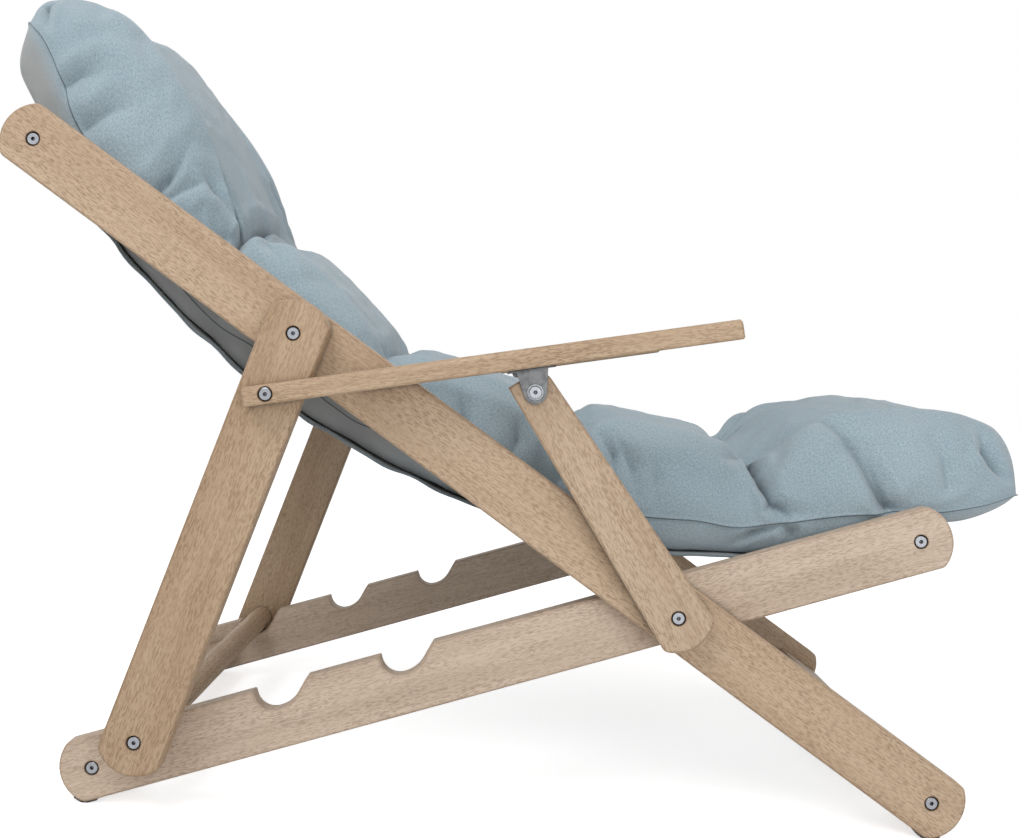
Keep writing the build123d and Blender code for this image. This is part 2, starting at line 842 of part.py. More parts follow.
def build_arms():
    add_pair("arm_strut", arm_strut())
    add_pair("bracket_bolt", bracket_bolt())
    add_pair("bracket_nut", bracket_nut())
    add_pair("bracket_washer", bracket_washer())
    add_pair("armrest", armrest())
    add_pair("arm_bracket", arm_bracket())
    add_pair("bracket_screws", Compound(children=bracket_screws()))


def build_soft_parts():
    pieces["sling"] = sling()
    room = cushion_room()
    for name, shares in section_shares.items():
        pieces[name] = cushion_section(shares, room)


build_back_frame()
build_seat_frame()
build_prop_frame()
build_arms()
build_soft_parts()

# The chair stands with the middle of its outline over the origin
boxes = [shape.bounding_box() for shape in pieces.values()]
rearmost = min(box.min.X for box in boxes)
foremost = max(box.max.X for box in boxes)
to_origin = Pos(-(rearmost + foremost) / 2, 0, 0)

os.makedirs("parts", exist_ok=True)
for name, shape in pieces.items():
    export_step(to_origin * shape, os.path.join("parts", name + ".step"))
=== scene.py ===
import json
import math

import bpy
import numpy as np
from mathutils import Matrix, Vector


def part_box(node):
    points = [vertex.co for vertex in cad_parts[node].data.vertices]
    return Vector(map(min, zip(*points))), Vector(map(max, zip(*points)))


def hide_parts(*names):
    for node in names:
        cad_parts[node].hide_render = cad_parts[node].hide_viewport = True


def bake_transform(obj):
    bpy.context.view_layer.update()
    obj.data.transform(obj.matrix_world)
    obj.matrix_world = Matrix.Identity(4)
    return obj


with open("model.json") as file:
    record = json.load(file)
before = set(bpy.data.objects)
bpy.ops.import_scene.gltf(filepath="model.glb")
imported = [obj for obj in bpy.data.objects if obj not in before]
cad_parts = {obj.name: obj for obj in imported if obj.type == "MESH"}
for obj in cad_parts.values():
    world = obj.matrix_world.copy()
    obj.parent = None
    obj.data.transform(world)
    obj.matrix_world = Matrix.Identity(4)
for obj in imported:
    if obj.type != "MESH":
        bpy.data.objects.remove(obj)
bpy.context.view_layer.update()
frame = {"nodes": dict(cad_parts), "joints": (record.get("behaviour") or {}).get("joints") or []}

bl_info = {
    "name": "Folding lounge chair",
    "version": (1, 0, 0),
    "blender": (4, 5, 0),
    "location": "View3D > Sidebar > Lounge",
    "description": "Beech, zinc hardware, tufted cushion, sling and studio for a lounge chair",
    "category": "Object",
}

PICTURE = (1020, 838)


# Places on the frame, in metres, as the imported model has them
def joint_place(name):
    joint = next(j for j in frame["joints"] if j["name"] == name)
    return Vector(joint["pos_m"])


def centre(node):
    low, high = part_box(node)
    return (low + high) / 2


main_pivot = joint_place("seat_hinge")
head_bar = centre("head_crossbar")
front_bar = centre("front_crossbar")
bar_radius = (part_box("head_crossbar")[1].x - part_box("head_crossbar")[0].x) / 2
rail_inside = abs(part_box("seat_rail_left")[0].y)


# User settings
class BeechFinish(bpy.types.PropertyGroup):
    light: bpy.props.FloatVectorProperty(
        name="Light wood",
        description="Colour between the growth lines",
        subtype="COLOR",
        default=(0.56, 0.405, 0.265),
    )
    dark: bpy.props.FloatVectorProperty(
        name="Dark wood",
        description="Colour of the growth lines",
        subtype="COLOR",
        default=(0.46, 0.315, 0.195),
    )
    # The fleck colour also tints the painted dark line of edge shade
    fleck: bpy.props.FloatVectorProperty(
        name="Flecks",
        description="Colour of the short rays along the grain",
        subtype="COLOR",
        default=(0.17, 0.085, 0.04),
    )
    # The edge radius also sets how wide the painted dark line of edge shade is
    edge_radius: bpy.props.FloatProperty(
        name="Edge radius",
        description="Softness of the worn edges",
        subtype="DISTANCE",
        default=0.0022,
        min=0,
    )


class CanvasFinish(bpy.types.PropertyGroup):
    light: bpy.props.FloatVectorProperty(
        name="Light yarn",
        description="Colour of the lighter yarns of the canvas",
        subtype="COLOR",
        default=(0.415, 0.494, 0.538),
    )
    dark: bpy.props.FloatVectorProperty(
        name="Dark yarn",
        description="Colour of the darker yarns of the canvas",
        subtype="COLOR",
        default=(0.26, 0.352, 0.408),
    )
    yarn: bpy.props.FloatProperty(
        name="Yarn pitch",
        description="Distance from one yarn of the weave to the next",
        subtype="DISTANCE",
        default=0.0009,
        min=0.0003,
    )


class CushionShape(bpy.types.PropertyGroup):
    rows: bpy.props.IntProperty(
        name="Rows", description="Mesh rows from head to toe", default=136, min=40
    )
    columns: bpy.props.IntProperty(
        name="Columns", description="Mesh columns across each panel", default=52, min=20
    )
    pressure: bpy.props.FloatProperty(
        name="Filling pressure", description="Pressure of the filling in the cloth", default=8.0
    )
    spare_cloth: bpy.props.FloatProperty(
        name="Spare cloth", description="Share by which the cloth is cut too large", default=0.04
    )
    hold: bpy.props.FloatProperty(
        name="Hold", description="How firmly the filling keeps the cloth in place", default=0.3
    )
    hold_stiffness: bpy.props.FloatProperty(
        name="Hold stiffness", description="Stiffness of what holds the cloth", default=0.5
    )
    seam_gather: bpy.props.FloatProperty(
        name="Seam gather", description="Share by which the edge seam draws in", default=0.03
    )
    swell_cap: bpy.props.FloatProperty(
        name="Largest swell",
        description="How far the filling may push the cloth out",
        subtype="DISTANCE",
        default=0.024,
    )
    steps: bpy.props.IntProperty(
        name="Steps", description="Frames of the cloth simulation", default=20, min=2
    )


class SlingShape(bpy.types.PropertyGroup):
    rows: bpy.props.IntProperty(
        name="Rows", description="Mesh rows between the two bars", default=130, min=20
    )
    width: bpy.props.FloatProperty(
        name="Width", description="Width of the sling", subtype="DISTANCE", default=0.464
    )
    hem: bpy.props.FloatProperty(
        name="Hem", description="Width of the side hems", subtype="DISTANCE", default=0.014
    )
    thickness: bpy.props.FloatProperty(
        name="Thickness", description="Thickness of the cloth", subtype="DISTANCE", default=0.0022
    )


class StudioSettings(bpy.types.PropertyGroup):
    camera_place: bpy.props.FloatVectorProperty(
        name="Camera",
        description="Where the camera stands",
        subtype="TRANSLATION",
        default=(main_pivot.x - 0.182, -1.4, 0.4588),
    )
    camera_roll: bpy.props.FloatProperty(
        name="Camera roll",
        description="How far the camera leans",
        subtype="ANGLE",
        default=math.radians(1.97),
    )
    focal_share: bpy.props.FloatProperty(
        name="Focal length",
        description="Focal length as a share of the picture's width",
        default=1100 / PICTURE[0],
    )
    key_power: bpy.props.FloatProperty(
        name="Key light", description="Power of the large overhead light", default=42.0
    )
    fill_power: bpy.props.FloatProperty(
        name="Fill light", description="Power of the light beside the camera", default=21.0
    )
    room_light: bpy.props.FloatProperty(
        name="Room light", description="Strength of the light from all around", default=0.42
    )


# Shader nodes
def add(tree, kind, inputs=None, **settings):
    """A shader node; each input is a value, or a socket that is linked to it."""
    made = tree.nodes.new("ShaderNode" + kind)
    for name, value in settings.items():
        setattr(made, name, value)
    for name, value in (inputs or {}).items():
        socket = made.inputs[name]
        if isinstance(value, bpy.types.NodeSocket):
            tree.links.new(value, socket)
        else:
            socket.default_value = value
    return made


def mixed(tree, factor, first, second, blend_type="MIX"):
    """The colour that two colours give together."""
    inputs = {0: factor, 6: first, 7: second}
    return add(tree, "Mix", inputs, data_type="RGBA", blend_type=blend_type).outputs[2]


def maths(tree, operation, first, second=0.0):
    inputs = {0: first, 1: second}
    return add(tree, "Math", inputs, operation=operation).outputs[0]


def plus(tree, first, second):
    return maths(tree, "ADD", first, second)


def times(tree, first, second):
    return maths(tree, "MULTIPLY", first, second)


def ranged(tree, value, low, high, to_low=0.0, to_high=1.0):
    """The value brought from one range to another, with soft ends."""
    inputs = {"Value": value, "From Min": low, "From Max": high}
    inputs |= {"To Min": to_low, "To Max": to_high}
    return add(tree, "MapRange", inputs, interpolation_type="SMOOTHSTEP").outputs[0]


def stretched(tree, vector, scale, location=(0, 0, 0)):
    made = add(tree, "Mapping", {"Vector": vector, "Scale": scale, "Location": location})
    return made.outputs[0]


def noise(tree, vector, scale=1.0, detail=2.0):
    made = add(tree, "TexNoise", {"Vector": vector, "Scale": scale, "Detail": detail})
    return made.outputs[0]


def add_bump(tree, shader, height, strength, distance, normal=None):
    inputs = {"Height": height, "Strength": strength, "Distance": distance}
    if normal:
        inputs["Normal"] = normal
    made = add(tree, "Bump", inputs)
    tree.links.new(made.outputs[0], shader.inputs["Normal"])


def effect(name, inputs, outputs):
    """An empty node group with its sockets: the tree, its inputs and its output node."""
    tree = bpy.data.node_groups.new(name, "ShaderNodeTree")
    for label, kind in inputs:
        tree.interface.new_socket(label, in_out="INPUT", socket_type="NodeSocket" + kind)
    for label, kind in outputs:
        tree.interface.new_socket(label, in_out="OUTPUT", socket_type="NodeSocket" + kind)
    entry = tree.nodes.new("NodeGroupInput")
    exit_node = tree.nodes.new("NodeGroupOutput")
    return tree, entry.outputs, exit_node.inputs


def place_effect(tree, name, build, inputs):
    """The outputs of a node group in a material; the group is built at its first use."""
    group = bpy.data.node_groups.get(name) or build(name)
    return add(tree, "Group", inputs, node_tree=group).outputs


def new_material(name):
    made = bpy.data.materials.new(name)
    made.use_nodes = True
    made.node_tree.nodes.clear()
    shader = add(made.node_tree, "BsdfPrincipled")
    output = add(made.node_tree, "OutputMaterial")
    made.node_tree.links.new(shader.outputs[0], output.inputs[0])
    return made, made.node_tree, shader


def coloured(colour):
    return (*colour, 1.0)


def with_painted_gap_shade(tree, colour, reach, darkest):
    """The colour with painted shade: darker in sockets and where pieces lie close together, after
    ambient occlusion.
    """
    gaps = add(tree, "AmbientOcclusion", {"Distance": reach}, samples=6)
    open_share = ranged(tree, gaps.outputs["AO"], 0.25, 0.85, darkest, 1.0)
    grey = add(tree, "CombineColor", {0: open_share, 1: open_share, 2: open_share}).outputs[0]
    return mixed(tree, 1.0, colour, grey, "MULTIPLY")


def beech_grain(name):
    """Grain of beech along X of the vector: growth lines, short rays, pores and height."""
    tree, given, result = effect(
        name,
        [("Vector", "Vector"), ("Seed", "Float")],
        [("Growth", "Float"), ("Rays", "Float"), ("Pores", "Float"), ("Height", "Float")],
    )
    shift = add(tree, "CombineXYZ", {"X": given["Seed"], "Y": given["Seed"], "Z": given["Seed"]})
    moved = add(tree, "VectorMath", {0: given["Vector"], 1: shift.outputs[0]}, operation="ADD")
    place = moved.outputs[0]
    broad = noise(tree, stretched(tree, place, (3, 26, 26)), detail=3.0)
    fine = noise(tree, stretched(tree, place, (9, 330, 330)))
    growth = plus(tree, times(tree, broad, 0.62), times(tree, fine, 0.38))
    tree.links.new(ranged(tree, growth, 0.34, 0.66), result["Growth"])

    wave = times(tree, noise(tree, stretched(tree, place, (45, 110, 110))), 1.6)
    long_cells = {0: stretched(tree, place, (125, 980, 980)), 1: wave}
    ray_place = add(tree, "VectorMath", long_cells, operation="ADD").outputs[0]
    cells = add(tree, "TexVoronoi", {"Vector": ray_place, "Scale": 1.0, "Randomness": 1.0})
    pick = add(tree, "SeparateColor", {0: cells.outputs["Color"]})
    size = ranged(tree, pick.outputs[0], 0.2, 1.0, 0.02, 0.42)
    flecks = ranged(tree, maths(tree, "SUBTRACT", size, cells.outputs["Distance"]), -0.02, 0.12)
    groove_place = stretched(tree, ray_place, (1.1, 0.85, 0.85), (3.1, 1.7, 0.6))
    groove = ranged(tree, noise(tree, groove_place, detail=1.0), 0.48, 0.64)
    patch = noise(tree, stretched(tree, place, (14, 40, 40)))
    rays = maths(tree, "MAXIMUM", flecks, times(tree, groove, 0.75))
    rays = times(tree, rays, ranged(tree, patch, 0.3, 0.62, 0.6, 1.0))
    tree.links.new(rays, result["Rays"])

    spot_place = stretched(tree, place, (9, 34, 34))
    spots = add(tree, "TexVoronoi", {"Vector": spot_place, "Scale": 1.0})
    spot_pick = add(tree, "SeparateColor", {0: spots.outputs["Color"]})
    spot_size = ranged(tree, spot_pick.outputs[1], 0.86, 1.0, 0.0, 0.11)
    from_edge = maths(tree, "SUBTRACT", spot_size, spots.outputs["Distance"])
    tree.links.new(ranged(tree, from_edge, 0.0, 0.06), result["Pores"])

    depth = plus(tree, times(tree, rays, -0.7), times(tree, fine, 0.5))
    tree.links.new(depth, result["Height"])
    return tree


def beech_material(name, turn, seed, tone, settings):
    """Oiled beech for one piece; turn brings the object's axes to the grain's."""
    material, tree, shader = new_material(name)
    place = add(tree, "TexCoord").outputs["Object"]
    turned = add(tree, "Mapping", {"Vector": place, "Rotation": turn}).outputs[0]
    grain = place_effect(tree, "Beech grain", beech_grain, {"Vector": turned, "Seed": seed})
    shade, pale = tone
    light, dark = (
        coloured([shade * (c + pale * (0.9 * max(whole) - c)) for c in whole])
        for whole in (settings.light, settings.dark)
    )
    colour = mixed(tree, grain["Growth"], dark, light)
    fleck = coloured(settings.fleck)
    ray_strength = 0.6 - 0.5 * pale
    colour = mixed(tree, times(tree, grain["Rays"], ray_strength), colour, fleck)
    pore = coloured([c * 0.35 for c in settings.fleck])
    colour = mixed(tree, times(tree, grain["Pores"], 0.75), colour, pore)
    soft = add(tree, "Bevel", {"Radius": settings.edge_radius}, samples=4)
    facing = add(tree, "NewGeometry").outputs["Normal"]
    turn_away = add(tree, "VectorMath", {0: soft.outputs[0], 1: facing}, operation="DOT_PRODUCT")
    # Painted shade: a dark line along the edges, drawn where the softened normal turns away from
    # the face
    edge = ranged(tree, turn_away.outputs["Value"], 0.82, 0.997, 0.82, 0.0)
    colour = mixed(tree, edge, colour, coloured([c * 1.15 for c in settings.fleck]))
    # Painted shade: the wood is drawn darker where pieces lie close together and in the
    # counterbores
    tree.links.new(with_painted_gap_shade(tree, colour, 0.007, 0.45), shader.inputs["Base Color"])
    roughness = ranged(tree, grain["Growth"], 0.0, 1.0, 0.56, 0.47)
    tree.links.new(roughness, shader.inputs["Roughness"])
    add_bump(tree, shader, grain["Height"], 0.6, 0.0006, soft.outputs[0])
    shader.inputs["Specular IOR Level"].default_value = 0.35
    return material


def zinc_scuffs(name):
    """Fine scuffs and dull patches of zinc plating."""
    tree, given, result = effect(
        name, [("Vector", "Vector")], [("Dullness", "Float"), ("Scratches", "Float")]
    )
    patches = noise(tree, given["Vector"], 190.0, 3.0)
    tree.links.new(ranged(tree, patches, 0.35, 0.7), result["Dullness"])
    lines = noise(tree, stretched(tree, given["Vector"], (260, 2600, 900)))
    tree.links.new(lines, result["Scratches"])
    return tree


def zinc_material(name, colour, low, high, bump_strength):
    material, tree, shader = new_material(name)
    place = add(tree, "TexCoord").outputs["Object"]
    scuffs = place_effect(tree, "Zinc scuffs", zinc_scuffs, {"Vector": place})
    roughness = ranged(tree, scuffs["Dullness"], 0.0, 1.0, low, high)
    tree.links.new(roughness, shader.inputs["Roughness"])
    dull = coloured([c * 0.78 for c in colour])
    plated = mixed(tree, scuffs["Dullness"], coloured(colour), dull)
    # Painted shade: the plating is drawn darker in the hex sockets and round the heads, where
    # little light reaches
    tree.links.new(with_painted_gap_shade(tree, plated, 0.004, 0.06), shader.inputs["Base Color"])
    shader.inputs["Metallic"].default_value = 1.0
    add_bump(tree, shader, scuffs["Scratches"], bump_strength, 0.0002)
    return material


def canvas_weave(name):
    """Plain weave of mottled yarn; the vector runs along the cloth, in metres."""
    tree, given, result = effect(
        name,
        [("Vector", "Vector"), ("Yarn", "Float")],
        [("Mottle", "Float"), ("Fading", "Float"), ("Height", "Float")],
    )
    count = maths(tree, "DIVIDE", 1.0, given["Yarn"])
    along = add(tree, "VectorMath", {0: given["Vector"]}, operation="SCALE")
    tree.links.new(count, along.inputs["Scale"])
    parts = add(tree, "SeparateXYZ", {0: along.outputs[0]})
    waves = [
        maths(tree, "SINE", times(tree, parts.outputs[axis], 2 * math.pi)) for axis in (0, 1)
    ]
    warp = noise(tree, stretched(tree, given["Vector"], (1300, 320, 1)))
    weft = noise(tree, stretched(tree, given["Vector"], (320, 1300, 1)))
    specks = noise(tree, given["Vector"], 700.0)
    mottle = times(tree, plus(tree, warp, weft), 0.33)
    mottle = plus(tree, mottle, times(tree, specks, 0.34))
    tree.links.new(ranged(tree, mottle, 0.40, 0.60), result["Mottle"])
    fading = noise(tree, given["Vector"], 7.0, 3.0)
    tree.links.new(ranged(tree, fading, 0.3, 0.7), result["Fading"])
    weave = times(tree, times(tree, *waves), 0.5)
    height = plus(tree, weave, times(tree, mottle, 1.2))
    tree.links.new(height, result["Height"])
    return tree


def canvas_material(name, settings, shade=1.0, marks=()):
    """Matt canvas with mottled yarn, a soft bloom at grazing angles, darker sewn lines, and
    painted shade in the creases and on the underside where the marks ask for it.
    """
    material, tree, shader = new_material(name)
    place = add(tree, "TexCoord").outputs["UV"]
    woven = {"Vector": place, "Yarn": settings.yarn}
    weave = place_effect(tree, "Canvas weave", canvas_weave, woven)
    light = coloured([c * shade for c in settings.light])
    dark = coloured([c * shade for c in settings.dark])
    colour = mixed(tree, weave["Mottle"], dark, light)
    faded = mixed(tree, 1.0, colour, coloured((0.90, 0.92, 0.93)), "MULTIPLY")
    colour = mixed(tree, weave["Fading"], faded, colour)
    if "under" in marks:
        # Painted shade: the underside towards the head is drawn in a greyer shadow tone
        under = add(tree, "Attribute", attribute_name="under").outputs["Fac"]
        painted_underside_shade = mixed(tree, 0.85, colour, coloured((0.32, 0.322, 0.315)))
        colour = mixed(tree, under, colour, painted_underside_shade)
    if "shade" in marks:
        # Painted shade: the cloth is drawn darker where the creases and tuft hollows are deep
        crease = add(tree, "Attribute", attribute_name="shade").outputs["Fac"]
        painted_crease_shade = mixed(tree, 1.0, colour, coloured((0.16, 0.18, 0.20)), "MULTIPLY")
        colour = mixed(tree, crease, colour, painted_crease_shade)
    if "seam" in marks:
        seam = add(tree, "Attribute", attribute_name="seam").outputs["Fac"]
        thread = coloured([c * 0.22 for c in settings.dark])
        colour = mixed(tree, ranged(tree, seam, 0.86, 0.99, 0.0, 0.92), colour, thread)
    tree.links.new(colour, shader.inputs["Base Color"])
    shader.inputs["Roughness"].default_value = 0.92
    shader.inputs["Specular IOR Level"].default_value = 0.2
    shader.inputs["Sheen Weight"].default_value = 0.45
    shader.inputs["Sheen Roughness"].default_value = 0.5
    add_bump(tree, shader, weave["Height"], 0.5, 0.0005)
    return material


def rubber_material():
    material, tree, shader = new_material("Glide rubber")
    place = add(tree, "TexCoord").outputs["Object"]
    dust = ranged(tree, noise(tree, place, 350.0, 4.0), 0.45, 0.7)
    colour = mixed(tree, dust, (0.03, 0.028, 0.026, 1), (0.12, 0.10, 0.09, 1))
    tree.links.new(colour, shader.inputs["Base Color"])
    shader.inputs["Roughness"].default_value = 0.8
    return material


def wear(piece, material):
    piece.data.materials.clear()
    piece.data.materials.append(material)


# Beech pieces
def grain_turn(node):
    """Rotation that brings the piece's long direction to X, from the middles of its two ends."""
    points = np.array([v.co for v in frame["nodes"][node].data.vertices])
    axis = int(np.argmax(np.ptp(points, axis=0)))
    if axis == 1:
        return (0, 0, -math.pi / 2)
    reach = np.ptp(points[:, axis]) * 0.06
    first = points[points[:, axis] < points[:, axis].min() + reach].mean(axis=0)
    last = points[points[:, axis] > points[:, axis].max() - reach].mean(axis=0)
    way = last - first
    return (0, math.atan2(way[2], way[0]), 0)


# How light each beech piece is, and how much paler than the rest
PAIRED = {
    "back_rail": (1.0, 0.10), "seat_rail": (1.15, 0.32), "prop_leg": (0.90, 0.04),
    "arm_strut": (0.97, 0.12), "armrest": (0.90, 0.05),
}
SINGLE = {
    "head_crossbar": (0.95, 0.1), "front_crossbar": (1.0, 0.1), "prop_dowel": (0.95, 0.0),
    "foot_crossbar": (0.98, 0.2), "rear_crossbar": (0.95, 0.1),
}
WOODEN = {f"{name}_{side}": tone for name, tone in PAIRED.items() for side in ("left", "right")}
WOODEN |= SINGLE
GALVANISED = ["arm_bracket_left", "arm_bracket_right"]
RUBBER = ["front_glide_pads", "rear_glide_pads"]
SOFT = ["head_cushion", "lumbar_cushion", "seat_cushion", "thigh_cushion", "leg_cushion", "sling"]


class LOUNGE_OT_beech(bpy.types.Operator):
    """Give every wooden piece its own beech, with the grain along the piece"""

    bl_idname = "lounge.beech"
    bl_label = "Finish the beech frame"

    def execute(self, context):
        for index, (node, tone) in enumerate(WOODEN.items()):
            seed = 0.37 + 1.618 * index
            settings = context.scene.lounge_beech
            material = beech_material("Beech " + node, grain_turn(node), seed, tone, settings)
            wear(frame["nodes"][node], material)
        return {"FINISHED"}


class LOUNGE_OT_hardware(bpy.types.Operator):
    """Give the bolts, nuts, washers, screws and brackets their zinc, and the glide pads rubber"""

    bl_idname = "lounge.hardware"
    bl_label = "Finish the hardware"

    def execute(self, context):
        bright = zinc_material("Bright zinc", (0.50, 0.52, 0.56), 0.22, 0.40, 0.15)
        galvanised = zinc_material("Galvanised sheet", (0.19, 0.195, 0.20), 0.32, 0.5, 0.5)
        rubber = rubber_material()
        finish = dict.fromkeys(GALVANISED, galvanised) | dict.fromkeys(RUBBER, rubber)
        for node, piece in frame["nodes"].items():
            if node not in WOODEN and node not in SOFT:
                wear(piece, finish.get(node, bright))
        return {"FINISHED"}


# Sling: a sheet that hangs between the two round bars, with a sleeve sewn round each
SPAN = (front_bar - head_bar).length
ALONG = (front_bar - head_bar) / SPAN
UP = Vector((-ALONG.z, 0, ALONG.x))
SLING_LINE = [
    (0.0, -0.0185), (0.06, -0.046), (0.111, -0.071), (0.189, -0.104), (0.285, -0.136),
    (0.418, -0.158), (0.524, -0.162), (0.620, -0.158), (0.700, -0.144), (0.785, -0.118),
    (0.848, -0.093), (0.900, -0.068), (0.950, -0.043), (1.0, -0.0185),
]
SLEEVE_SEAM = 0.045
SLEEVE_TOP = math.radians(50)
SLEEVE_FOOT = math.radians(245)


def span_place(along, up):
    """A point of the side view, from shares of the distance between the bars."""
    return head_bar + ALONG * (along * SPAN) + UP * (up * SPAN)


def smooth_curve(knots, reach, wanted):
    """Points of a smooth curve through knots that stand at these distances along it."""
    knots = np.array(knots, float)
    last = len(knots) - 1
    segment = np.clip(np.searchsorted(reach, wanted, side="right") - 1, 0, last - 1)
    t = ((wanted - reach[segment]) / (reach[segment + 1] - reach[segment]))[:, None]
    a, b, c, d = (knots[np.clip(segment + k, 0, last)] for k in (-1, 0, 1, 2))
    return 0.5 * (
        2 * b + (c - a) * t + (2 * a - 5 * b + 4 * c - d) * t**2 + (3 * b - a - 3 * c + d) * t**3
    )


def distances(points):
    """How far along the line through them each point stands."""
    steps = np.sqrt((np.diff(np.array(points, float), axis=0) ** 2).sum(axis=1))
    return np.concatenate([[0], np.cumsum(steps)])


def sling_line(along):
    """Height of the sling's underside, in shares of the distance between the bars."""
    known = np.array(SLING_LINE)
    wanted = np.clip(np.atleast_1d(along), 0, 1)
    heights = known[:, 1:]
    return smooth_curve(heights, known[:, 0], wanted)[:, 0]


def flap_line(along, thickness):
    """Height of the upper cloth between a bar and the seam of its sleeve, in shares."""
    radius = (bar_radius + thickness) / SPAN
    near = np.minimum(along, 1 - along)
    start = radius * math.cos(SLEEVE_TOP)
    fall = (near - start) / (SLEEVE_SEAM - start)
    foot = sling_line(SLEEVE_SEAM)[0] + 1.6 * thickness / SPAN
    return radius * math.sin(SLEEVE_TOP) * (1 - fall) + foot * fall


def sling_path(settings):
    """Middle line of the cloth in shares: round the head bar, along, round the front bar."""
    thickness = settings.thickness
    radius = (bar_radius + 0.0006 + thickness / 2) / SPAN
    angles = np.linspace(SLEEVE_TOP, SLEEVE_FOOT, 22)
    sleeve = np.stack([np.cos(angles), np.sin(angles)], axis=1) * radius
    flap_along = np.linspace(SLEEVE_SEAM, sleeve[0, 0], 5)[:-1]
    flap = np.stack([flap_along, flap_line(flap_along, thickness)], axis=1)
    ends = np.concatenate([flap, sleeve])
    along = np.linspace(0.012, 0.988, settings.rows)
    hanging = np.stack([along, sling_line(along) + thickness / 2 / SPAN], axis=1)
    far_end = ends[::-1] * (-1, 1) + (1, 0)
    return np.concatenate([ends, hanging, far_end])


def sling_mesh(settings):
    """The cloth with its thickness, a hem along each side and a slight ripple in the hems."""
    path = sling_path(settings)
    reach = distances(path) * SPAN
    ahead = np.gradient(path, axis=0)
    ahead /= np.linalg.norm(ahead, axis=1)[:, None]
    square = np.stack([-ahead[:, 1], ahead[:, 0]], axis=1)
    hem = settings.hem
    half = settings.width / 2
    rim, fold = 0.0008, 0.0012
    edge = [0.0, rim, hem * 0.5, hem - fold, hem, hem + fold, hem + 0.01]
    inner = np.linspace(-half + hem + 0.03, half - hem - 0.03, 15)
    side = np.array(edge) - half
    across = np.concatenate([side, inner, -side[::-1]])
    from_edge = half - np.abs(across)
    doubled = np.clip((hem + fold - from_edge) / fold, 0, 1)
    rounded = np.clip(from_edge / rim, 0.35, 1)
    thick = settings.thickness * (0.62 + 0.38 * doubled) * rounded
    wave = np.sin(reach * 2 * math.pi / 0.083) + 0.6 * np.sin(reach * 2 * math.pi / 0.051 + 1.0)
    held = np.clip(np.minimum(reach, reach[-1] - reach) / 0.12 - 0.4, 0, 1)
    ripple = 0.0011 * np.outer(wave * held, np.exp(-from_edge / 0.02) * np.sign(across))
    layers = []
    for way in (1, -1):
        off = (way * thick / 2)[None, :] + ripple
        spot = path[:, None, :] * SPAN + square[:, None, :] * off[:, :, None]
        layer = np.array(head_bar) + spot[..., :1] * np.array(ALONG) + spot[..., 1:] * np.array(UP)
        layer[..., 1] = across[None, :]
        layers.append(layer)
    count, columns = len(path), len(across)
    numbers = np.arange(2 * count * columns).reshape(2, count, columns)
    top, low = numbers
    loops = quads(top, flipped=True) + quads(low)
    sides = [(top[:, 0], low[:, 0]), (low[:, -1], top[:, -1])]
    sides += [(low[0], top[0]), (top[-1], low[-1])]
    for side in sides:
        loops += quads(np.stack(side, axis=1))
    mesh = bpy.data.meshes.new("sling")
    mesh.from_pydata(np.concatenate([l.reshape(-1, 3) for l in layers]).tolist(), [], loops)
    places = np.stack(np.broadcast_arrays(reach[:, None], across[None, :]), axis=-1).reshape(-1, 2)
    write_uv(mesh, np.concatenate([places, places]))
    stitched = np.broadcast_to(np.abs(from_edge - hem) < 0.0002, (2, count, columns))
    write_mark(mesh, "seam", stitched.ravel())
    return mesh, reach[-1]


def quads(grid, flipped=False):
    """Faces between the rows and columns of a grid of vertex numbers."""
    corners = [grid[:-1, :-1], grid[1:, :-1], grid[1:, 1:], grid[:-1, 1:]]
    return np.stack(corners[::-1] if flipped else corners, axis=-1).reshape(-1, 4).tolist()


def outer_edge(grid):
    return np.concatenate([grid[:, 0], grid[:, -1], grid[0], grid[-1]])


def write_uv(mesh, places):
    """Each vertex's place on the flat cloth, in metres, as the mesh's UV map."""
    corners = np.zeros(len(mesh.loops), int)
    mesh.loops.foreach_get("vertex_index", corners)
    mesh.uv_layers.new(name="cloth").data.foreach_set("uv", places[corners].ravel())


def write_mark(mesh, name, values):
    """Keep a number for each vertex, such as whether a line of stitches runs through it."""
    mesh.attributes.new(name, "FLOAT", "POINT").data.foreach_set("value", values.astype(float))


def read_mark(mesh, name):
    values = np.zeros(len(mesh.vertices))
    mesh.attributes[name].data.foreach_get("value", values)
    return values


class LOUNGE_OT_sling(bpy.types.Operator):
    """Hang the sling between the two round bars"""

    bl_idname = "lounge.sling"
    bl_label = "Add the sling"

    def execute(self, context):
        settings = context.scene.lounge_sling
        mesh, length = sling_mesh(settings)
        piece = bpy.data.objects.new("sling_cloth", mesh)
        context.scene.collection.objects.link(piece)
        mesh.polygons.foreach_set("use_smooth", [True] * len(mesh.polygons))
        wear(piece, canvas_material("Sling canvas", context.scene.lounge_canvas, 0.5, ["seam"]))
        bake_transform(piece)
        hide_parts("sling")
        return {"FINISHED"}


